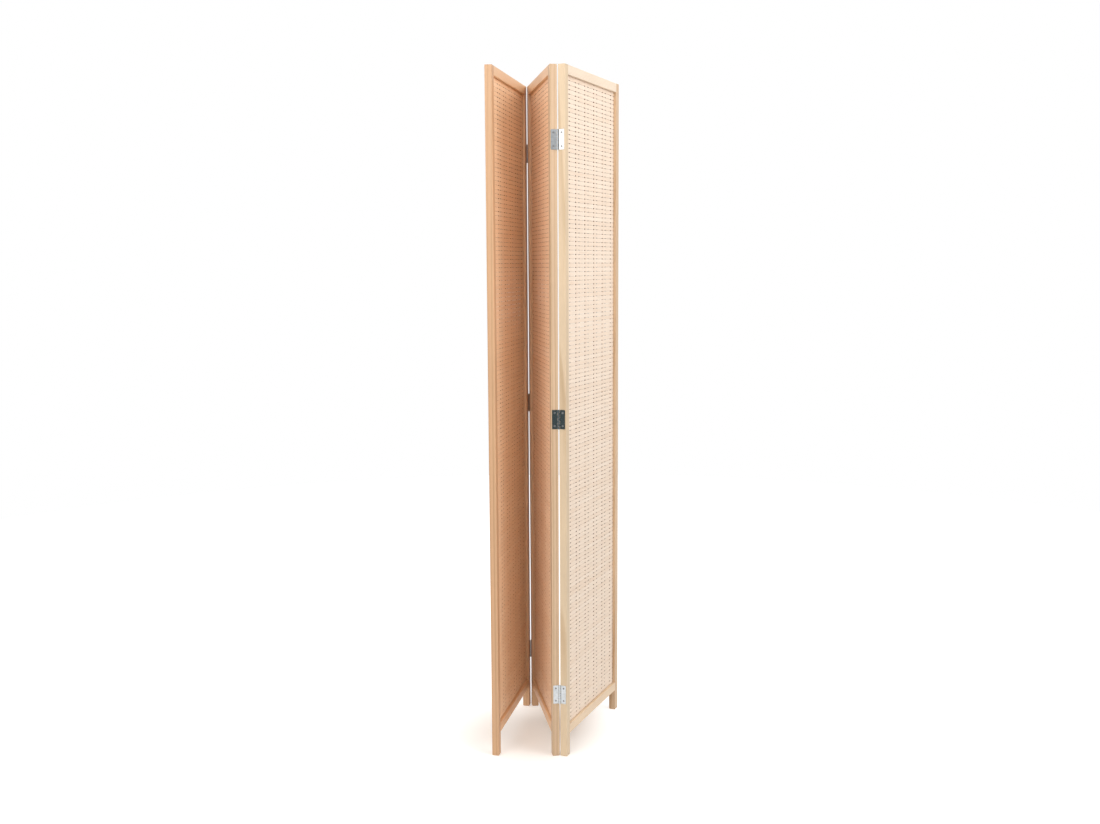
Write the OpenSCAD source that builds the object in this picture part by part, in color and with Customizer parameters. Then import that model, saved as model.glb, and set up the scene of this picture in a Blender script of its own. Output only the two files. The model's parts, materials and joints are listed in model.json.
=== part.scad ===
// Three-panel accordion folding partition: pine frames round woven wood-strip
// mats, joined edge to edge by steel butt hinges so that it folds like a Z.
// Millimetres, +Z up. The floor is z = 0 and the origin is under the middle of
// the footprint. The screen is seen from -Y: the left panel is at -X.
//
// Each panel has a frame of its own: x runs along its width from the front
// stile (x = 0) to the back stile, y runs across its thickness (0 is the
// middle) and z is its height.

/* [Panels] */
// Height of a stile, floor to top
panel_height = 1800; // [1200:10:2200]
// Width of one panel over its stiles
panel_width = 380; // [300:5:500]
// Thickness of the stiles and rails
frame_thickness = 19; // [17:0.5:26]
// Face width of a stile
stile_width = 20; // [18:0.5:40]
// Face height of a rail
rail_height = 24; // [22:0.5:60]
// Clear height under the bottom rail
foot_height = 60; // [20:1:120]
// Radius that eases the long edges of the frame
edge_radius = 1; // [0.5:0.25:2.5]
// Chamfer round the sole of a foot
foot_chamfer = 2; // [0.5:0.5:3]
// Chamfer round the top of a stile
top_chamfer = 0.6; // [0.2:0.1:1.5]

/* [Standing pose] */
// Angle between the left and the middle panel, 0 is folded shut
back_opening = 21.5; // [4:0.5:170]
// Angle between the middle and the right panel, 0 is folded shut
front_opening = 33.5; // [4:0.5:170]
// Turn of the middle panel away from straight back
middle_turn = 9.5; // [-30:0.5:60]

/* [Woven mat] */
// Thickness of the mat between two stakes
mat_thickness = 2.4; // [2:0.2:4]
// Thickness of the strips over a stake
strip_thickness = 1.3; // [0.8:0.1:2]
// Depth of the groove in a stile that holds the edge of the mat
groove_depth = 5; // [3:0.5:6]
// Clearance between the mat or a stake and what holds it
mat_clearance = 0.1; // [0.05:0.05:0.3]
// Number of stakes in a panel
stake_count = 6; // [3:1:8]
// Width of a stake
stake_width = 12; // [8:0.5:14]
// Thickness of a stake
stake_thickness = 3; // [2:0.5:7]
// Distance from a stile to the middle of the nearest stake
stake_margin = 13.5; // [7.5:0.5:20]
// Length over which a strip slopes down beside a stake
strip_slope = 6; // [4:0.5:12]
// Depth of the mortise that a stake sits in
stake_seat = 4.5; // [2:0.5:10]
// Rows of openings in the mat, which stand for the many small gaps of the weave
gap_rows = 12; // [4:1:12]
// Height of an opening
gap_height = 38; // [10:1:60]
// Width of an opening
gap_width = 7; // [3:0.5:8]
// Distance from the edge of a stake to the opening beside it
gap_inset = 1.8; // [1:0.1:4]

/* [Hinges] */
// Height of a hinge
hinge_height = 50; // [42:1:70]
// Distance from the pin to the outer edge of a leaf
leaf_reach = 17; // [15:0.5:19]
// Thickness of a leaf, and of a knuckle's wall, which is rolled from it
leaf_thickness = 1.2; // [0.8:0.1:1.6]
// Radius of a leaf's outer corners
leaf_corner = 1.5; // [0.5:0.25:4]
// Diameter of the hinge pin
pin_diameter = 3; // [2.5:0.1:3.5]
// Running clearance between the pin and a knuckle
pin_clearance = 0.05; // [0.02:0.01:0.1]
// Number of knuckles in a hinge
knuckle_count = 7; // [3:2:9]
// Height of the peened head at each end of the pin
pin_head_height = 0.6; // [0.3:0.1:1.5]
// Gap between two knuckles
knuckle_gap = 0.3; // [0.2:0.05:0.5]
// Gap between the faces of two panels folded shut
fold_gap = 0.75; // [0.5:0.25:6]
// Middle of the top hinge below the top of the stile
top_hinge_drop = 184; // [60:1:300]
// Middle of the centre hinge above the floor
centre_hinge_height = 909; // [600:1:1100]
// Middle of the bottom hinge above the floor
bottom_hinge_height = 171.5; // [100:0.5:300]

/* [Screws and dowels] */
// Distance between the two screws of a leaf
screw_spacing = 34; // [22:1:40]
// Distance from the pin to the screws
screw_offset = 10.3; // [8:0.1:12]
// Length of a screw under its head
screw_length = 11; // [8:0.5:13]
// Diameter of the screw's shank
screw_diameter = 2.6; // [2:0.1:3]
// Diameter of the countersunk head
screw_head = 5.6; // [4.5:0.1:6]
// Length of the screw's pointed tip
screw_tip = 3; // [1.5:0.5:5]
// Depth of the cross recess in the head
recess_depth = 0.7; // [0.4:0.1:1]
// Width of one slot of the cross recess
recess_width = 0.7; // [0.4:0.1:1]
// Length of one slot of the cross recess
recess_length = 3.4; // [2:0.1:4]
// Diameter of a frame dowel
dowel_diameter = 6; // [4:0.5:8]
// Length of a frame dowel
dowel_length = 28; // [20:1:34]
// Distance between the two dowels of a joint
dowel_spacing = 10; // [8.5:0.5:12]
// Distance from the outer edge of a rail to the nearest dowel's middle
dowel_inset = 5; // [4:0.5:8]

/* [Hidden] */
$fn = 48;
hair = 0.05;          // clearance of what is driven or screwed home
knuckle_relief = 0.4; // from a leaf's edge to the other leaf's knuckle
mortise_wall = 1;     // wood left between a mortise and a dowel
cut = 1;              // how far a cutter runs past a face
slope_steps = 6;      // facets of a strip's slope beside a stake

opening_left = stile_width;
opening_right = panel_width - stile_width;
opening_bottom = foot_height + rail_height;
opening_top = panel_height - rail_height;
opening_height = opening_top - opening_bottom;

pin_radius = pin_diameter / 2;
bore_radius = pin_radius + pin_clearance;
knuckle_radius = bore_radius + leaf_thickness;
knuckle_height = (hinge_height - (knuckle_count - 1) * knuckle_gap) / knuckle_count;
pin_standoff = knuckle_radius;                     // pin to the wood that a leaf lies on
pin_side = frame_thickness / 2 + fold_gap / 2;     // pin to the middle of a panel
hinge_centres = [bottom_hinge_height, centre_hinge_height, panel_height - top_hinge_drop];

// The mortises stop short of the dowels.
seat_depth = min(
    stake_seat,
    rail_height - dowel_inset - dowel_spacing - dowel_diameter / 2 - mortise_wall
);
stake_pitch = (opening_right - opening_left - 2 * stake_margin) / (stake_count - 1);
stake_places = [for (i = [0 : stake_count - 1]) opening_left + stake_margin + i * stake_pitch];
gap_step = stake_width / 2 + gap_inset;            // from a stake's middle to a gap's near side
gap_places = [for (i = [1 : stake_count - 1])
    each [stake_places[i - 1] + gap_step, stake_places[i] - gap_step - gap_width]];

// A point of a panel's own plan, turned by the panel's angle.
function turned(a, p) = [p.x * cos(a) - p.y * sin(a), p.x * sin(a) + p.y * cos(a)];
function low(values) = min([for (v = values) v]);
function high(values) = max([for (v = values) v]);

// Left, middle and right panel: angle of x from +X, then the place of x = y = 0.
angles = [90 + middle_turn - back_opening, 90 + middle_turn, 90 + middle_turn - front_opening];
back_pin_raw = turned(angles[1], [panel_width + pin_standoff, pin_side]);
front_pin_raw = turned(angles[1], [-pin_standoff, -pin_side]);
places_raw = [
    back_pin_raw - turned(angles[0], [panel_width + pin_standoff, -pin_side]),
    [0, 0],
    front_pin_raw - turned(angles[2], [-pin_standoff, pin_side])
];
// Everything that can reach the edge of the footprint: the eased corners of
// the panels, the outer corners of the leaves and the knuckles.
leaf_side = pin_side - leaf_reach;
leaf_corners = [
    [0, panel_width + leaf_thickness, -leaf_side], [1, panel_width + leaf_thickness, leaf_side],
    [1, -leaf_thickness, -leaf_side], [2, -leaf_thickness, leaf_side]
];
outline = concat(
    [for (i = [0 : 2], x = [edge_radius, panel_width - edge_radius], s = [-1, 1], d = [-1, 1])
        places_raw[i] + turned(angles[i], [x, s * (frame_thickness / 2 - edge_radius)])
            + d * [edge_radius, edge_radius]],
    [for (c = leaf_corners) places_raw[c[0]] + turned(angles[c[0]], [c[1], c[2]])],
    [for (p = [back_pin_raw, front_pin_raw], d = [-1, 1]) p + d * [knuckle_radius, knuckle_radius]]
);
middle = [
    (low([for (p = outline) p.x]) + high([for (p = outline) p.x])) / 2,
    (low([for (p = outline) p.y]) + high([for (p = outline) p.y])) / 2
];
places = [for (p = places_raw) p - middle];
back_pin = back_pin_raw - middle;
front_pin = front_pin_raw - middle;

pine = [0.90, 0.76, 0.58];
pale_wood = [0.86, 0.71, 0.54];
stake_wood = [0.80, 0.63, 0.44];
zinc = [0.70, 0.72, 0.74];
dark_steel = [0.42, 0.41, 0.40];

PANELS = ["left", "middle", "right"];
PANEL_PIECES = ["front_stile", "back_stile", "top_rail", "bottom_rail", "dowels", "stakes", "mat"];
HINGES = ["bottom", "centre", "top"];
JOINTS = ["back", "front"];
HINGE_PIECES = ["left_leaf", "right_leaf", "pin"];

// ---- places ----

module in_panel(i) {
    translate([places[i].x, places[i].y, 0]) rotate([0, 0, angles[i]]) children();
}

// What is drawn at the front stile appears at the back stile instead.
module at_back() {
    translate([panel_width, 0, 0]) mirror([1, 0, 0]) children();
}

// The hinge frame lies on its pin: x runs across the leaf from the pin, y runs
// out of the wood, z is up from the foot of the hinge. side is the sign of the
// panel's y on which the pin lies.
module at_pin(side, centre) {
    translate([-pin_standoff, side * pin_side, centre - hinge_height / 2])
        mirror([0, side > 0 ? 1 : 0, 0])
            rotate([0, 0, 90]) children();
}

// ---- frame ----

module eased_rectangle(size) {
    r = edge_radius;
    translate([r, 0]) square([size.x - 2 * r, size.y]);
    translate([0, r]) square([size.x, size.y - 2 * r]);
    for (x = [r, size.x - r], y = [r, size.y - r]) translate([x, y]) circle(r);
}

// Side view of a stile of the given width, with its end chamfers.
module stile_elevation(width) {
    polygon([
        [foot_chamfer, 0], [width - foot_chamfer, 0], [width, foot_chamfer],
        [width, panel_height - top_chamfer], [width - top_chamfer, panel_height],
        [top_chamfer, panel_height], [0, panel_height - top_chamfer], [0, foot_chamfer]
    ]);
}

module stile_blank() {
    intersection() {
        translate([0, -frame_thickness / 2, 0])
            linear_extrude(panel_height) eased_rectangle([stile_width, frame_thickness]);
        translate([0, frame_thickness / 2, 0])
            rotate([90, 0, 0]) linear_extrude(frame_thickness) stile_elevation(stile_width);
        translate([0, -frame_thickness / 2, 0])
            rotate([90, 0, 90]) linear_extrude(stile_width) stile_elevation(frame_thickness);
    }
}

// Bores for the dowels of one frame corner, open at x = stile_width.
module corner_dowels(radius, length) {
    for (inset = [dowel_inset, dowel_inset + dowel_spacing])
        for (z = [foot_height + inset, panel_height - inset])
            translate([stile_width - length / 2, 0, z])
                rotate([0, 90, 0]) cylinder(r = radius, h = length);
}

module dowel_bores() {
    corner_dowels(dowel_diameter / 2 + hair, dowel_length + cut);
}

// Pilot bores for the hinge screws of one edge.
module pilot_bores(side) {
    for (centre = hinge_centres) at_pin(side, centre) screws_at()
        translate([0, 0, -screw_length - cut / 2])
            cylinder(r = screw_diameter / 2 + hair, h = screw_length + cut);
}

// side is 0 for an edge with no hinge.
module stile(side) {
    groove = mat_thickness + 2 * mat_clearance;
    color(pine) difference() {
        stile_blank();
        translate([stile_width - groove_depth, -groove / 2, opening_bottom])
            cube([groove_depth + cut, groove, opening_height]);
        dowel_bores();
        if (side != 0) pilot_bores(side);
    }
}

module rail(bottom) {
    color(pine) difference() {
        translate([opening_left, -frame_thickness / 2, bottom])
            rotate([90, 0, 90]) linear_extrude(opening_right - opening_left)
                eased_rectangle([frame_thickness, rail_height]);
        dowel_bores();
        at_back() dowel_bores();
        stake_row(mat_clearance);
    }
}

module dowels() {
    color(pale_wood) {
        corner_dowels(dowel_diameter / 2, dowel_length);
        at_back() corner_dowels(dowel_diameter / 2, dowel_length);
    }
}

// ---- woven mat ----

module stake_section(grow) {
    w = stake_width + 2 * grow;
    t = stake_thickness + 2 * grow;
    square([w - t, t], center = true);
    for (end = [-0.5, 0.5]) translate([end * (w - t), 0]) circle(t / 2);
}

// The stakes stand in mortises in both rails.
module stake_row(grow) {
    seat = seat_depth + grow;
    for (x = stake_places)
        translate([x, 0, opening_bottom - seat])
            linear_extrude(opening_height + 2 * seat) stake_section(grow);
}

module stakes() {
    color(stake_wood) stake_row(0);
}

// Half the mat's thickness at a distance d beside the edge of a stake, where
// the slope has a length of run: a smooth fall from over the stake to the mat.
function mat_half(d, run) =
    let (over = stake_thickness / 2 + strip_thickness, flat = mat_thickness / 2, s = min(d / run, 1))
    over - (over - flat) * s * s * (3 - 2 * s);

function slope(x, way, run) =
    [for (k = [0 : slope_steps])
        let (d = (way < 0 ? slope_steps - k : k) * run / slope_steps)
        [x + way * (stake_width / 2 + d), mat_half(d, run)]];

// One face of the mat, from stile to stile. The strips next to a stile slope
// down in the room that is left there.
module mat_outline() {
    last = stake_count - 1;
    between = min(strip_slope, (stake_pitch - stake_width) / 2 - hair);
    beside = min(strip_slope, stake_margin - stake_width / 2 - hair);
    tongue = groove_depth - mat_clearance;
    flat = mat_thickness / 2;
    face = concat(
        [[opening_left - tongue, flat]],
        [for (i = [0 : last]) each concat(
            slope(stake_places[i], -1, i == 0 ? beside : between),
            slope(stake_places[i], 1, i == last ? beside : between))],
        [[opening_right + tongue, flat]]
    );
    count = len(face);
    polygon(concat(face, [for (i = [count - 1 : -1 : 0]) [face[i].x, -face[i].y]]));
}

// Cutters of the openings, which lie between the stakes and beside them.
module mat_gaps() {
    depth = stake_thickness + 2 * (strip_thickness + cut);
    row_pitch = opening_height / gap_rows;
    for (x = gap_places, row = [0 : gap_rows - 1])
        translate([x, -depth / 2, opening_bottom + (row + 0.5) * row_pitch - gap_height / 2])
            cube([gap_width, depth, gap_height]);
}

module mat() {
    color(pale_wood) difference() {
        translate([0, 0, opening_bottom]) linear_extrude(opening_height) difference() {
            mat_outline();
            for (x = stake_places) translate([x, 0]) stake_section(mat_clearance);
        }
        mat_gaps();
    }
}

// ---- hinges ----

// Screw places of one leaf: z is the way out of the wood, 0 at the wood.
module screws_at() {
    for (step = [-0.5, 0.5])
        translate([screw_offset, -pin_standoff, hinge_height / 2 + step * screw_spacing])
            rotate([-90, 0, 0]) children();
}

module knuckle_rows(first) {
    for (k = [first : 2 : knuckle_count - 1])
        translate([0, 0, k * (knuckle_height + knuckle_gap)]) children();
}

// first is 0 for the leaf that has the end knuckles, and 1 for the other.
module leaf(first) {
    color(zinc) difference() {
        union() {
            translate([0, leaf_thickness - pin_standoff, 0]) rotate([90, 0, 0])
                linear_extrude(leaf_thickness) {
                    square([leaf_reach - leaf_corner, hinge_height]);
                    translate([0, leaf_corner]) square([leaf_reach, hinge_height - 2 * leaf_corner]);
                    for (z = [leaf_corner, hinge_height - leaf_corner])
                        translate([leaf_reach - leaf_corner, z]) circle(leaf_corner);
                }
            knuckle_rows(first) cylinder(r = knuckle_radius, h = knuckle_height);
        }
        translate([0, 0, -cut]) cylinder(r = bore_radius, h = hinge_height + 2 * cut);
        knuckle_rows(1 - first)
            translate([-knuckle_radius - cut, -knuckle_radius - cut, -knuckle_gap])
                cube([
                    2 * knuckle_radius + cut + knuckle_relief,
                    2 * (knuckle_radius + cut),
                    knuckle_height + 2 * knuckle_gap
                ]);
        screws_at() countersink(hair);
    }
}

module countersink(grow) {
    translate([0, 0, -grow]) cylinder(
        r1 = screw_diameter / 2 + grow,
        r2 = screw_head / 2 + grow,
        h = leaf_thickness + 2 * grow
    );
}

module pin() {
    color(zinc) {
        cylinder(r = pin_radius, h = hinge_height);
        for (z = [-pin_head_height, hinge_height])
            translate([0, 0, z])
                cylinder(r = (pin_radius + knuckle_radius) / 2, h = pin_head_height);
    }
}

// A countersunk wood screw with a cross recess, its head flush with the leaf.
module screw() {
    shank = screw_length - screw_tip;
    difference() {
        union() {
            countersink(0);
            translate([0, 0, -shank]) cylinder(r = screw_diameter / 2, h = shank);
            translate([0, 0, -screw_length])
                cylinder(r1 = 0, r2 = screw_diameter / 2, h = screw_tip);
        }
        for (a = [0, 90]) rotate([0, 0, a])
            translate([-recess_length / 2, -recess_width / 2, leaf_thickness - recess_depth])
                cube([recess_length, recess_width, recess_depth + cut]);
    }
}

module screw_set(side) {
    color(dark_steel) for (centre = hinge_centres) at_pin(side, centre) screws_at() screw();
}

// ---- pieces by name ----

module panel_piece(i, piece) {
    back_side = [-1, 1, 0][i];
    front_side = [0, -1, 1][i];
    in_panel(i) {
        if (piece == "front_stile") stile(front_side);
        if (piece == "back_stile") at_back() stile(back_side);
        if (piece == "top_rail") rail(opening_top);
        if (piece == "bottom_rail") rail(foot_height);
        if (piece == "dowels") dowels();
        if (piece == "stakes") stakes();
        if (piece == "mat") mat();
    }
}

// The leaf or screws of the back joint are on the left or middle panel, and
// those of the front joint on the middle or right panel.
module on_joint(joint, side) {
    panel = joint == "back" ? (side == "left" ? 0 : 1) : (side == "left" ? 1 : 2);
    in_panel(panel) {
        if (joint == "back") at_back() children();
        else children();
    }
}

// The pin is at -y of the panel on its left and at +y of the panel on its right.
function pin_way(side) = side == "left" ? -1 : 1;

module hinge_piece(joint, centre, piece) {
    if (piece == "left_leaf") on_joint(joint, "left") at_pin(pin_way("left"), centre) leaf(0);
    if (piece == "right_leaf") on_joint(joint, "right") at_pin(pin_way("right"), centre) leaf(1);
    if (piece == "pin") {
        place = joint == "back" ? back_pin : front_pin;
        translate([place.x, place.y, centre - hinge_height / 2]) pin();
    }
}

for (i = [0 : 2], piece = PANEL_PIECES)
    panel_piece(i, piece);

for (joint = JOINTS, h = [0 : 2], piece = HINGE_PIECES)
    hinge_piece(joint, hinge_centres[h], piece);

for (joint = JOINTS, side = ["left", "right"])
    on_joint(joint, side) screw_set(pin_way(side));
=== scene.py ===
"""A three-panel accordion folding partition: pine frames round woven mats, on steel butt hinges.

The frame supplies the stiles, rails, dowels, stakes, hinges and screws. This script gives them
their materials, weaves the mats strip by strip, and sets the floor, the lights and the camera.
Lengths are in metres.
"""
import itertools
import json
import math
import random

import bpy
from mathutils import Matrix, Vector


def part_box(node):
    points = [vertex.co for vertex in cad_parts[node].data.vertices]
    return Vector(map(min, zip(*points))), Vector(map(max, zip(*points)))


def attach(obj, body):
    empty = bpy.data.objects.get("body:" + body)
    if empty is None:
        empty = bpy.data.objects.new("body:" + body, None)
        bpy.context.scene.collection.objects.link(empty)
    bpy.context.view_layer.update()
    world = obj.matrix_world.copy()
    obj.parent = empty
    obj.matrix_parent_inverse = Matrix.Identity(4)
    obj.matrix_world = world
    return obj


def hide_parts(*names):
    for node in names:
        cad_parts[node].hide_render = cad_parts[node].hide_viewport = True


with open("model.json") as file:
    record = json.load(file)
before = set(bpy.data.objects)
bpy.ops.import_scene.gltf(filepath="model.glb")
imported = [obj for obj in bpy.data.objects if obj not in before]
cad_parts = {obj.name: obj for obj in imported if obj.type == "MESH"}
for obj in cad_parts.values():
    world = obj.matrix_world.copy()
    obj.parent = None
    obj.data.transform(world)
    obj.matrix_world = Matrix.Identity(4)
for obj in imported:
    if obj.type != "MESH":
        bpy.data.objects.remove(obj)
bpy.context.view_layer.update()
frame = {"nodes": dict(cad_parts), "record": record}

MM = 0.001
PANELS = ("left", "middle", "right")

# The photograph's camera: its focal length in pixels of the frame, its place and its attitude
# in degrees.
FRAME_WIDTH = 1100
FOCAL_LENGTH_PIXELS = 1160.25
SENSOR_WIDTH = 36
CAMERA_PLACE = Vector((-0.01808, -3.15205, 1.30502))
CAMERA_PITCH = 7.236
CAMERA_ROLL = -0.281

# The solids that the weave meets: the stiles with their grooves, and the stakes.
STILE_WIDTH = 20 * MM
PANEL_WIDTH = 380 * MM
GROOVE_REACH = 4.9 * MM
STAKE_COUNT = 6
STAKE_MARGIN = 13.5 * MM
STAKE_HALF_WIDTH = 6 * MM

# Half the thickness of the weave: in a groove, between the stakes and over a stake. It grows
# by END_RISE from a stile inwards, and falls over the length SLOPE beside a stake.
MAT_HALF_IN_GROOVE = 1.2 * MM
MAT_HALF_FLAT = 2.0 * MM
MAT_HALF_OVER = 2.4 * MM
END_RISE = 0.3
SLOPE = 6 * MM

# The rows. A thin slit stays open between them, and grows to a small gap beside each stake,
# where the strips are pinched. The rows of one face lie a little lower than those of the other,
# so that, seen from its side, the slits show from below and hide from above. The pinch starts,
# is strongest and ends at these distances from the middle of a stake, with a section halfway up
# and down. Strips differ in their pinch and in how far out they lie, here in millimetres.
ROW_PITCH = 11.13 * MM
ROW_SLIT = 0.45 * MM
ROW_STEP = 0.4 * MM
LOWER_FACE = {"left": 1, "middle": -1, "right": 1}
PINCH = 2.9 * MM
PINCH_START = 7 * MM
PINCH_PLACE = 11.3 * MM
PINCH_END = 16 * MM
PINCH_HALFWAY = (9 * MM, 13.5 * MM)
PINCH_RANGE = (0.8, 1.25)
OUTWARD_RANGE = (-0.12, 0.0)

# One strip. Its outer face is eased along both long sides. Its lower edge and inner face, which
# show in the gaps, carry painted shade: they are coloured darker than its outer face, as shade
# falls on them there: sides 5 and 4 of the section's six.
STRIP_THICKNESS = 0.75 * MM
EASE_HEIGHT = 0.8 * MM
EASE_DEPTH = 0.2 * MM
CORNERS = 6
PAINTED_SHADE_SIDES = (4, 5)
FACE_FINISH, PAINTED_SHADE_FINISH = 0, 1

# Pine: where the pith lies along and beside a piece, how it leans, the width and the wander of
# the growth rings, the darkness across one ring from early to late wood, and how far rings and
# flecks go towards the dark colour.
PITH_ALONG = 0.5
PITH_BESIDE = (0.03, 0.07)
PITH_LEAN = 0.012
RING_WIDTH = 3.4 * MM
RING_WANDER = 10 * MM
RING_PROFILE = ((0.0, 0.05), (0.55, 0.25), (0.86, 1.0), (0.94, 0.75), (1.0, 0.0))
RING_DEPTH = 0.8
FLECK_DEPTH = 0.22

# Strips: how far each strip's own tone, the streaks and the clouds go towards the dark colour,
# and how far apart the strips lie in the pattern of the grain.
OWN_DEPTH = 0.30
STREAK_DEPTH = 0.35
CLOUD_DEPTH = 0.25
STRIP_SHIFT = 3.0

# Light and dark wood of each piece, as display colours. Each piece has its own tone, and over that
# light and shade are painted in: the right panel's wood is paler, as painted light that washes it
# out, the left and middle panels' wood is warmer, as painted light bounced between them, and the
# front stiles and the right panel's back stile are darker, as painted shade.
FRAME_WOOD_AND_PAINTED_LIGHT = {
    ("left", "front_stile"): ((212, 169, 130), (182, 137, 97)),
    ("left", "back_stile"): ((222, 177, 136), (190, 139, 97)),
    ("left", "top_rail"): ((234, 196, 156), (208, 156, 112)),
    ("left", "bottom_rail"): ((236, 190, 146), (208, 154, 106)),
    ("middle", "front_stile"): ((210, 180, 148), (175, 141, 105)),
    ("middle", "back_stile"): ((222, 180, 141), (190, 142, 102)),
    ("middle", "top_rail"): ((238, 204, 168), (208, 162, 120)),
    ("middle", "bottom_rail"): ((238, 200, 160), (210, 160, 114)),
    ("right", "front_stile"): ((222, 198, 166), (190, 158, 120)),
    ("right", "back_stile"): ((217, 186, 152), (187, 148, 109)),
    ("right", "top_rail"): ((244, 226, 204), (224, 192, 158)),
    ("right", "bottom_rail"): ((240, 214, 182), (214, 176, 134)),
}
# Each panel's strips: the right panel's are paler, as painted light that washes them out, and the
# left and middle panels' are warmer and redder, as painted light bounced and shone through between
# them.
STRIP_WOOD_AND_PAINTED_LIGHT = {
    "left": ((250, 215, 180), (242, 198, 157)),
    "middle": ((251, 219, 189), (244, 205, 169)),
    "right": ((246, 227, 208), (235, 207, 181)),
}
STAKE_WOOD = ((206, 160, 118), (176, 126, 84))
DOWEL_WOOD = ((226, 190, 150), (206, 164, 120))
# Painted shade: the dark wood of the strips' lower edge and inner face, where shade falls in the
# gaps.
STRIP_EDGE_PAINTED_SHADE = ((146, 102, 68), (110, 74, 47))

# Display colour, roughness and unevenness of the plating of each kind of steel part.
LEAF_STEEL = ((186, 189, 191), 0.05, 0.03)
PIN_STEEL = ((214, 216, 217), 0.2, 0.03)
SCREW_STEEL = ((150, 150, 150), 0.3, 0.04)

WHITE = (1, 1, 1, 1)

# The floor, and the light that it seems to give. Between the two distances from the fold of the
# left and the middle panel, this light grows and goes from a warm tint, painted light as if
# bounced off the wood, to white.
FLOOR_RADIUS = 4.0
FLOOR_COLOUR = (0.86, 0.86, 0.86, 1)
FLOOR_PAINTED_BOUNCE = (1, 0.86, 0.72, 1)
FOLD_CENTRE = (-0.06, -0.04, 0)
PAINTED_BOUNCE_FADE = (0.1, 0.31)
FLOOR_LIFT = (0.2, 0.6)

# The world's light, and the dark band in what steel mirrors. The band's limits are directions,
# and it fades between the two values of each: forwards in Y, and at its top and bottom in Z.
WORLD_COLOUR = (0.98, 0.99, 1.0, 1)
WORLD_STRENGTH = 0.64
BAND_COLOUR = (0.10, 0.13, 0.13, 1)
BAND_FRONT = (-0.6, -0.3)
BAND_TOP = (-0.03, 0.13)
BAND_BOTTOM = (-0.30, -0.22)

# The lamps: place, target, size, power, colour and spread in degrees.
MIDDLE_OF_SCREEN = (0, 0, 1.1)
TOP_OF_SCREEN = (0, 0, 1.8)
LAMPS = {
    "key": ((2.4, -1.6, 3.1), TOP_OF_SCREEN, (2.0, 2.0), 16, (1.0, 0.985, 0.97), 90),
    "fill": ((-2.9, -3.0, 2.7), MIDDLE_OF_SCREEN, (2.0, 3.0), 34, (1.0, 0.97, 0.94), 180),
    "front": ((-0.8, -3.4, 3.2), TOP_OF_SCREEN, (3.2, 1.6), 19, (1.0, 0.97, 0.94), 90),
}


# ---- places ----

def mount_place(name):
    mounts = frame["record"]["mounts"]
    return Vector(next(m["pos_m"] for m in mounts if m["name"] == name))


def panel_matrix(panel):
    """A panel's own frame: x from its front edge to its back edge, y across it and z up."""
    front = mount_place(f"{panel}_front_foot")
    along = (mount_place(f"{panel}_back_foot") - front).normalized()
    across = Vector((0, 0, 1)).cross(along)
    origin = front - along * STILE_WIDTH / 2
    turn = Matrix((along, across, Vector((0, 0, 1)))).transposed().to_4x4()
    return Matrix.Translation(origin) @ turn


def panel_angle(panel):
    along = panel_matrix(panel).col[0]
    return math.atan2(along.y, along.x)


def opening(panel):
    """The lowest and highest z between a panel's rails."""
    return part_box(f"{panel}_bottom_rail")[1].z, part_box(f"{panel}_top_rail")[0].z


# ---- material building ----

def set_inputs(tree, node, inputs):
    """Each input is an output socket to link, or a value to set."""
    for name, value in inputs.items():
        if isinstance(value, bpy.types.NodeSocket):
            tree.links.new(value, node.inputs[name])
        else:
            node.inputs[name].default_value = value


def add(tree, kind, inputs=None, **settings):
    node = tree.nodes.new(kind)
    for name, value in settings.items():
        setattr(node, name, value)
    set_inputs(tree, node, inputs or {})
    return node


def math_node(tree, operation, first, second=0.0, clamp=False):
    inputs = {0: first, 1: second}
    return add(tree, "ShaderNodeMath", inputs, operation=operation, use_clamp=clamp).outputs[0]


def stretched(tree, vector, factors):
    inputs = {0: vector, 1: factors}
    return add(tree, "ShaderNodeVectorMath", inputs, operation="MULTIPLY").outputs["Vector"]


def length(tree, vector):
    return add(tree, "ShaderNodeVectorMath", {0: vector}, operation="LENGTH").outputs["Value"]


def noise(tree, vector, scale, detail=2.0, roughness=0.5):
    inputs = {"Vector": vector, "Scale": scale, "Detail": detail, "Roughness": roughness}
    return add(tree, "ShaderNodeTexNoise", inputs).outputs["Fac"]


def remap(tree, value, source, target=(0.0, 1.0)):
    """A value carried from its source range to the target range, and held within that."""
    inputs = {
        "Value": value, "From Min": source[0], "From Max": source[1],
        "To Min": target[0], "To Max": target[1],
    }
    return add(tree, "ShaderNodeMapRange", inputs, clamp=True).outputs["Result"]


def mix(tree, factor, first, second, blend="MIX"):
    """Two colours mixed. The node's sockets share names, so they are told by their numbers."""
    inputs = {0: factor, 6: first, 7: second}
    node = add(tree, "ShaderNodeMix", inputs, data_type="RGBA", blend_type=blend)
    return node.outputs[2]


def scaled(tree, colour, value):
    """A colour made darker or lighter by a value, 1 leaving it as it is."""
    grey = add(tree, "ShaderNodeCombineColor", {"Red": value, "Green": value, "Blue": value})
    return mix(tree, 1.0, colour, grey.outputs["Color"], "MULTIPLY")


def bump(tree, height, strength, distance):
    inputs = {"Height": height, "Strength": strength, "Distance": distance}
    return add(tree, "ShaderNodeBump", inputs).outputs["Normal"]


def linear(red, green, blue):
    """A colour written as display values from 0 to 255."""
    channels = [c / 255 for c in (red, green, blue)]
    return [c / 12.92 if c < 0.04045 else ((c + 0.055) / 1.055) ** 2.4 for c in channels] + [1.0]


def shades(pair):
    """The light and the dark colour of a wood."""
    return [linear(*colour) for colour in pair]


def new_material(name):
    material = bpy.data.materials.new(name)
    material.use_nodes = True
    tree = material.node_tree
    return material, tree, tree.nodes["Principled BSDF"]


# ---- materials ----

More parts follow.
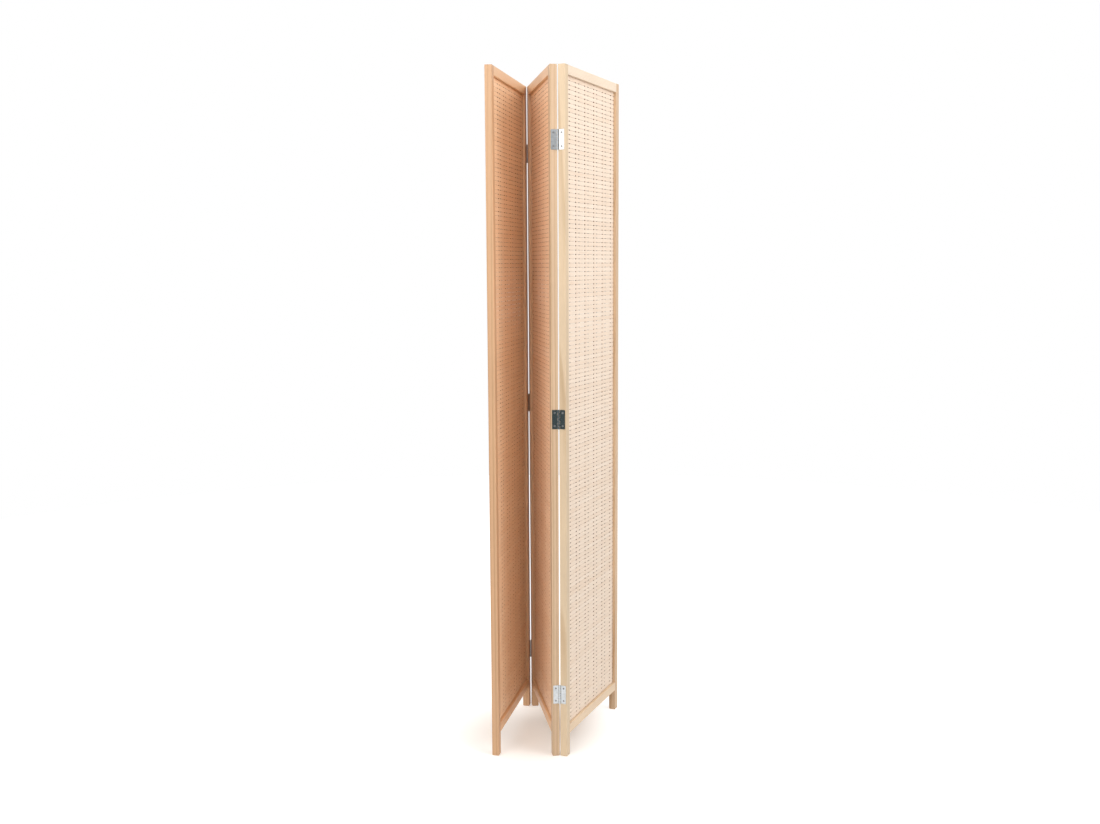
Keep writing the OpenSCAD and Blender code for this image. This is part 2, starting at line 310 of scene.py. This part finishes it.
def growth_rings(tree, placed, along_grain, section):
    """How dark the growth rings are: late wood towards the end of each ring, uneven in depth."""
    wander = noise(tree, along_grain, scale=9.0)
    distance = length(tree, stretched(tree, placed, section))
    wandered = math_node(tree, "ADD", distance, math_node(tree, "MULTIPLY", wander, RING_WANDER))
    ring = math_node(tree, "FRACT", math_node(tree, "DIVIDE", wandered, RING_WIDTH))
    ramp = add(tree, "ShaderNodeValToRGB", {"Fac": ring})
    stops = ramp.color_ramp.elements
    for position, _ in RING_PROFILE[1:-1]:
        stops.new(position)
    for stop, (_, level) in zip(stops, RING_PROFILE):
        stop.color = (level, level, level, 1)
    contrast = remap(tree, noise(tree, along_grain, scale=40.0), (0.3, 0.7), (0.35, 1.0))
    return math_node(tree, "MULTIPLY", ramp.outputs["Color"], contrast)


def pine(name, angle, seed, upright, light, dark):
    """Planed pine under clear matt varnish: growth rings round a pith beside the piece."""
    material, tree, shader = new_material(name)
    where = add(tree, "ShaderNodeTexCoord").outputs["Object"]
    vary = random.Random(seed)
    turned = add(tree, "ShaderNodeMapping", {"Vector": where, "Rotation": (0, 0, -angle)})
    pith = (
        vary.uniform(-PITH_ALONG, PITH_ALONG), vary.uniform(*PITH_BESIDE),
        vary.uniform(-PITH_ALONG, PITH_ALONG),
    )
    lean = [vary.uniform(-PITH_LEAN, PITH_LEAN) for _ in range(3)]
    placed = add(tree, "ShaderNodeMapping", {
        "Vector": turned.outputs["Vector"], "Location": pith, "Rotation": lean,
    }).outputs["Vector"]
    along_grain = stretched(tree, placed, (1, 1, 0.04) if upright else (0.04, 1, 1))

    rings = growth_rings(tree, placed, along_grain, (1, 1, 0) if upright else (0, 1, 1))
    fibres = noise(tree, along_grain, scale=1100.0, detail=3.0, roughness=0.6)
    fleck = remap(tree, noise(tree, along_grain, scale=260.0), (0.66, 0.76))
    patches = noise(tree, placed, scale=5.0, detail=1.0)

    colour = mix(tree, math_node(tree, "MULTIPLY", rings, RING_DEPTH), light, dark)
    colour = mix(tree, math_node(tree, "MULTIPLY", fleck, FLECK_DEPTH), colour, dark)
    colour = scaled(tree, colour, remap(tree, fibres, (0.25, 0.75), (0.93, 1.05)))
    colour = scaled(tree, colour, remap(tree, patches, (0.3, 0.7), (0.95, 1.03)))
    relief = math_node(tree, "ADD", math_node(tree, "MULTIPLY", fibres, 0.7), rings)
    set_inputs(tree, shader, {
        "Base Color": colour,
        "Roughness": remap(tree, fibres, (0.2, 0.8), (0.42, 0.56)),
        "Specular IOR Level": 0.42,
        "Coat Weight": 0.12,
        "Coat Roughness": 0.35,
        "Normal": bump(tree, relief, 0.18, 0.15 * MM),
    })
    return material


def strip_wood(name, seed, bottom, light, dark):
    """Thin split-wood strips. Each strip has its own tone, and fine grain along its length."""
    material, tree, shader = new_material(name)
    where = add(tree, "ShaderNodeTexCoord").outputs["Object"]
    axes = add(tree, "ShaderNodeSeparateXYZ", {"Vector": where}).outputs
    height = math_node(tree, "SUBTRACT", axes["Z"], bottom)
    row = math_node(tree, "FLOOR", math_node(tree, "DIVIDE", height, ROW_PITCH))
    face = math_node(tree, "SIGN", axes["Y"])
    strip = add(tree, "ShaderNodeCombineXYZ", {"X": row, "Y": face, "Z": float(seed)})
    own = add(tree, "ShaderNodeTexWhiteNoise", {
        "Vector": strip.outputs["Vector"],
    }, noise_dimensions="3D").outputs
    own_shift = add(tree, "ShaderNodeVectorMath", {
        0: own["Color"], "Scale": STRIP_SHIFT,
    }, operation="SCALE").outputs["Vector"]
    placed = add(tree, "ShaderNodeVectorMath", {
        0: where, 1: own_shift,
    }, operation="ADD").outputs["Vector"]

    along_grain = stretched(tree, placed, (0.05, 1, 1))
    grain = noise(tree, along_grain, scale=620.0, detail=3.0, roughness=0.6)
    streaks = remap(tree, noise(tree, along_grain, scale=190.0), (0.55, 0.72))
    clouds = noise(tree, stretched(tree, placed, (0.3, 1, 1)), scale=26.0)

    amount = math_node(
        tree, "ADD", math_node(tree, "MULTIPLY", own["Value"], OWN_DEPTH),
        math_node(tree, "MULTIPLY", streaks, STREAK_DEPTH))
    clouded = remap(tree, clouds, (0.35, 0.75), (0.0, CLOUD_DEPTH))
    amount = math_node(tree, "ADD", amount, clouded, clamp=True)
    colour = mix(tree, amount, light, dark)
    colour = scaled(tree, colour, remap(tree, grain, (0.25, 0.75), (0.92, 1.06)))
    set_inputs(tree, shader, {
        "Base Color": colour,
        "Roughness": remap(tree, grain, (0.2, 0.8), (0.46, 0.62)),
        "Specular IOR Level": 0.35,
        "Normal": bump(tree, grain, 0.25, 0.12 * MM),
    })
    return material


def stake_wood(name, light, dark):
    """Rounded sticks, unvarnished, with long grain."""
    material, tree, shader = new_material(name)
    where = add(tree, "ShaderNodeTexCoord").outputs["Object"]
    along_grain = stretched(tree, where, (1, 1, 0.03))
    grain = noise(tree, along_grain, scale=700.0, detail=3.0, roughness=0.6)
    bands = noise(tree, along_grain, scale=110.0)
    colour = mix(tree, remap(tree, bands, (0.35, 0.7)), light, dark)
    colour = scaled(tree, colour, remap(tree, grain, (0.25, 0.75), (0.9, 1.06)))
    set_inputs(tree, shader, {
        "Base Color": colour,
        "Roughness": 0.62,
        "Specular IOR Level": 0.3,
        "Normal": bump(tree, grain, 0.3, 0.1 * MM),
    })
    return material


def zinc(name, colour, roughness, unevenness):
    """Zinc-plated steel: cloudy plating over rolling marks that run up the leaf."""
    material, tree, shader = new_material(name)
    where = add(tree, "ShaderNodeTexCoord").outputs["Object"]
    crystals = add(tree, "ShaderNodeTexVoronoi", {
        "Vector": where, "Scale": 420.0, "Randomness": 1.0,
    }).outputs["Color"]
    crystal = add(tree, "ShaderNodeSeparateColor", {"Color": crystals}).outputs["Red"]
    tone = remap(tree, crystal, (0.0, 1.0), (1 - unevenness, 1 + unevenness))
    clouds = noise(tree, where, scale=130.0, detail=3.0)
    rolled = noise(tree, stretched(tree, where, (1, 1, 0.02)), scale=3200.0)
    scratches = noise(
        tree, stretched(tree, where, (1, 1, 0.15)), scale=1500.0, detail=4.0, roughness=0.7)
    tinted = scaled(tree, linear(*colour), tone)
    tinted = scaled(tree, tinted, remap(tree, clouds, (0.3, 0.7), (0.9, 1.06)))
    clouded = remap(tree, clouds, (0.3, 0.75), (roughness, roughness + 0.04))
    scratched = remap(tree, scratches, (0.5, 0.8), (0.0, 0.05))
    relief = math_node(tree, "ADD", rolled, math_node(tree, "MULTIPLY", scratches, 0.6))
    set_inputs(tree, shader, {
        "Base Color": tinted,
        "Metallic": 1.0,
        "Roughness": math_node(tree, "ADD", clouded, scratched),
        "Normal": bump(tree, relief, 0.02, 0.02 * MM),
    })
    return material


# ---- woven mats ----

def stake_places():
    first = STILE_WIDTH + STAKE_MARGIN
    last = PANEL_WIDTH - STILE_WIDTH - STAKE_MARGIN
    return [first + i * (last - first) / (STAKE_COUNT - 1) for i in range(STAKE_COUNT)]


def smooth_step(value):
    value = min(max(value, 0.0), 1.0)
    return value * value * (3 - 2 * value)


def mat_half(x, stakes):
    """Half the mat's thickness at x: full over a stake, less beside it, least in the grooves."""
    away = min(abs(x - s) for s in stakes)
    fall = smooth_step((away - STAKE_HALF_WIDTH) / SLOPE)
    from_stile = max(min(x, PANEL_WIDTH - x) - STILE_WIDTH, 0)
    end = MAT_HALF_IN_GROOVE + END_RISE * from_stile
    return min(end, MAT_HALF_OVER - (MAT_HALF_OVER - MAT_HALF_FLAT) * fall)


def pinch(x, stakes):
    """How far a strip is pinched at x: from 0 up to 1 beside a stake."""
    away = min(abs(x - s) for s in stakes)
    reach = PINCH_PLACE - PINCH_START if away < PINCH_PLACE else PINCH_END - PINCH_PLACE
    return 1 - smooth_step(abs(away - PINCH_PLACE) / reach)


def strip_stations(stakes):
    """The places along a strip where it has a section of its own."""
    left = STILE_WIDTH - GROOVE_REACH
    right = PANEL_WIDTH - STILE_WIDTH + GROOVE_REACH
    steps = (0, STAKE_HALF_WIDTH, PINCH_START, PINCH_PLACE, PINCH_END, *PINCH_HALFWAY)
    beside = {s + way * step for s in stakes for way in (-1, 1) for step in steps}
    return sorted({x for x in beside if left < x < right} | {left, right})


def strip_section(x, face, half, low, high):
    """The corners of a strip's section at x, round from its lower outer edge."""
    outer = face * half
    eased = face * (half - EASE_DEPTH)
    inner = face * (half - STRIP_THICKNESS)
    return [
        (x, eased, low), (x, outer, low + EASE_HEIGHT), (x, outer, high - EASE_HEIGHT),
        (x, eased, high), (x, inner, high), (x, inner, low),
    ]


def strip_faces(first, sections, face):
    """The faces of the strip whose vertices begin at first, and the finish of each."""
    faces, finishes = [], []
    last = first + (sections - 1) * CORNERS
    for near in range(first, last, CORNERS):
        for side in range(CORNERS):
            a, b = near + side, near + (side + 1) % CORNERS
            faces.append((a, a + CORNERS, b + CORNERS, b))
            # Painted shade: the lower edge and inner face of each strip take the dark finish.
            finishes.append(PAINTED_SHADE_FINISH if side in PAINTED_SHADE_SIDES else FACE_FINISH)
    faces.append(tuple(reversed(range(first, first + CORNERS))))
    faces.append(tuple(range(last, last + CORNERS)))
    finishes += [PAINTED_SHADE_FINISH, PAINTED_SHADE_FINISH]
    if face > 0:
        faces = [corners[::-1] for corners in faces]
    return faces, finishes


def strip_mesh(panel):
    """Every row is a pair of flat strips, one on each face, that close round the stakes."""
    stakes = stake_places()
    profile = [(x, mat_half(x, stakes), pinch(x, stakes)) for x in strip_stations(stakes)]
    bottom, top = opening(panel)
    rows = round((top - bottom) / ROW_PITCH)
    pitch = (top - bottom - ROW_STEP) / rows
    vary = random.Random(panel)
    vertices, faces, finishes = [], [], []
    for row, face in itertools.product(range(rows), (1, -1)):
        own_faces, own_finishes = strip_faces(len(vertices), len(profile), face)
        faces += own_faces
        finishes += own_finishes
        low = bottom + row * pitch + (0 if face == LOWER_FACE[panel] else ROW_STEP)
        own_pinch = PINCH / 2 * vary.uniform(*PINCH_RANGE)
        outward = vary.uniform(*OUTWARD_RANGE) * MM
        for x, half, pinched in profile:
            inset = ROW_SLIT / 2 + own_pinch * pinched
            vertices += strip_section(x, face, half + outward, low + inset, low + pitch - inset)
    mesh = bpy.data.meshes.new(f"{panel}_strips")
    mesh.from_pydata(vertices, [], faces)
    mesh.polygons.foreach_set("material_index", finishes)
    mesh.update()
    return mesh


def woven_mat(panel):
    strips = bpy.data.objects.new(f"{panel}_strips", strip_mesh(panel))
    bpy.context.collection.objects.link(strips)
    strips.matrix_world = panel_matrix(panel)
    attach(strips, f"{panel}_panel")
    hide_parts(f"{panel}_mat")
    return strips


# ---- dressing ----

def dress(node, material):
    """Gives every surface of a CAD node the material."""
    for slot in frame["nodes"][node].material_slots:
        slot.material = material


def dress_panel(panel, seed):
    angle = panel_angle(panel)
    pieces = ("front_stile", "back_stile", "top_rail", "bottom_rail")
    for index, piece in enumerate(pieces):
        node = f"{panel}_{piece}"
        # Each piece's own tone, with the painted light and shade of its panel.
        wood = shades(FRAME_WOOD_AND_PAINTED_LIGHT[panel, piece])
        upright = piece.endswith("stile")
        dress(node, pine(f"pine_{node}", angle, seed + index, upright, *wood))
    bottom = opening(panel)[0]
    # The strips' own tone, with the painted light of their panel.
    outside = strip_wood(f"strips_{panel}", seed, bottom, *shades(STRIP_WOOD_AND_PAINTED_LIGHT[panel]))
    # Painted shade: a dark wood for the strips' lower edge, inner face and ends, as shade in the
    # gaps.
    painted_shade = stake_wood(f"strip_painted_shade_{panel}", *shades(STRIP_EDGE_PAINTED_SHADE))
    strips = woven_mat(panel)
    strips.data.materials.append(outside)
    strips.data.materials.append(painted_shade)


def dress_hardware():
    finishes = {
        "_stakes": stake_wood("stake_wood", *shades(STAKE_WOOD)),
        "_dowels": stake_wood("dowel_wood", *shades(DOWEL_WOOD)),
        "_leaf": zinc("zinc_leaf", *LEAF_STEEL),
        "_pin": zinc("zinc_pin", *PIN_STEEL),
        "_screws": zinc("zinc_screw", *SCREW_STEEL),
    }
    for node in frame["nodes"]:
        for ending, material in finishes.items():
            if node.endswith(ending):
                dress(node, material)


# ---- studio ----

def seen_or_mirrored(tree):
    """1 for what the camera sees itself or in metal and glass, and 0 for what only gives light."""
    path = add(tree, "ShaderNodeLightPath").outputs
    mirrored = math_node(tree, "MAXIMUM", path["Is Glossy Ray"], path["Is Transmission Ray"])
    return math_node(tree, "MAXIMUM", path["Is Camera Ray"], mirrored)


def add_floor():
    """A white floor. It looks a little brighter than it is, most of all far from the screen, so
    that it meets the white background and keeps the shadow under and between the panels. In
    the fold of the left and the middle panel its glow has a warm tint, painted light as if bounced
    off the wood."""
    bpy.ops.mesh.primitive_circle_add(vertices=96, radius=FLOOR_RADIUS, fill_type="NGON")
    floor = bpy.context.object
    floor.name = "floor"
    material, tree, shader = new_material("floor")
    set_inputs(tree, shader, {
        "Base Color": FLOOR_COLOUR, "Roughness": 0.9, "Specular IOR Level": 0.0,
    })
    where = add(tree, "ShaderNodeTexCoord").outputs["Object"]
    from_fold = add(tree, "ShaderNodeVectorMath", {
        0: where, 1: FOLD_CENTRE,
    }, operation="SUBTRACT").outputs["Vector"]
    away = remap(tree, length(tree, from_fold), PAINTED_BOUNCE_FADE)
    lift = remap(tree, away, (0.0, 1.0), FLOOR_LIFT)
    glow = add(tree, "ShaderNodeEmission", {
        # Painted light: a warm glow in the fold, as if bounced off the wood.
        "Color": mix(tree, away, FLOOR_PAINTED_BOUNCE, WHITE),
        "Strength": math_node(tree, "MULTIPLY", seen_or_mirrored(tree), lift),
    })
    both = add(tree, "ShaderNodeAddShader", {
        0: shader.outputs["BSDF"], 1: glow.outputs["Emission"],
    })
    set_inputs(tree, tree.nodes["Material Output"], {"Surface": both.outputs["Shader"]})
    floor.data.materials.append(material)


def dark_band(tree):
    """1 for the unlit part of the room in front of the screen: a band under the horizon that
    fades out a little above it. It is for mirrored rays only."""
    ways = add(tree, "ShaderNodeSeparateXYZ", {
        "Vector": add(tree, "ShaderNodeTexCoord").outputs["Generated"],
    }).outputs
    front = remap(tree, ways["Y"], BAND_FRONT, (1.0, 0.0))
    under = remap(tree, ways["Z"], BAND_TOP, (1.0, 0.0))
    over = remap(tree, ways["Z"], BAND_BOTTOM)
    return math_node(tree, "MULTIPLY", front, math_node(tree, "MULTIPLY", under, over))


def add_world():
    """White where it is seen or mirrored, and an even soft light to everything else."""
    world = bpy.data.worlds.new("studio")
    world.use_nodes = True
    tree = world.node_tree
    glossy = add(tree, "ShaderNodeLightPath").outputs["Is Glossy Ray"]
    unlit = math_node(tree, "MULTIPLY", glossy, dark_band(tree))
    light = add(tree, "ShaderNodeBackground", {
        "Color": WORLD_COLOUR, "Strength": WORLD_STRENGTH,
    })
    white = add(tree, "ShaderNodeBackground", {
        "Color": mix(tree, unlit, WHITE, BAND_COLOUR), "Strength": 1.0,
    })
    shown = add(tree, "ShaderNodeMixShader", {
        0: seen_or_mirrored(tree), 1: light.outputs["Background"], 2: white.outputs["Background"],
    })
    set_inputs(tree, tree.nodes["World Output"], {"Surface": shown.outputs["Shader"]})
    bpy.context.scene.world = world


def add_lamp(name, place, target, size, power, colour, spread):
    data = bpy.data.lights.new(name, "AREA")
    data.spread = math.radians(spread)
    data.shape = "RECTANGLE"
    data.size, data.size_y = size
    data.energy = power
    data.color = colour
    lamp = bpy.data.objects.new(name, data)
    bpy.context.collection.objects.link(lamp)
    lamp.location = place
    lamp.rotation_euler = (Vector(target) - Vector(place)).to_track_quat("-Z", "Y").to_euler()


def add_camera():
    data = bpy.data.cameras.new("camera")
    data.sensor_width = SENSOR_WIDTH
    data.lens = SENSOR_WIDTH * FOCAL_LENGTH_PIXELS / FRAME_WIDTH
    camera = bpy.data.objects.new("camera", data)
    bpy.context.collection.objects.link(camera)
    tilt = Matrix.Rotation(math.radians(90 - CAMERA_PITCH), 4, "X")
    roll = Matrix.Rotation(math.radians(CAMERA_ROLL), 4, "Z")
    camera.matrix_world = Matrix.Translation(CAMERA_PLACE) @ tilt @ roll
    bpy.context.scene.camera = camera


for number, name in enumerate(PANELS):
    dress_panel(name, 10 * number + 1)
dress_hardware()
add_floor()
add_world()
for name, lamp in LAMPS.items():
    add_lamp(name, *lamp)
add_camera()
bpy.context.scene.view_settings.view_transform = "Standard"
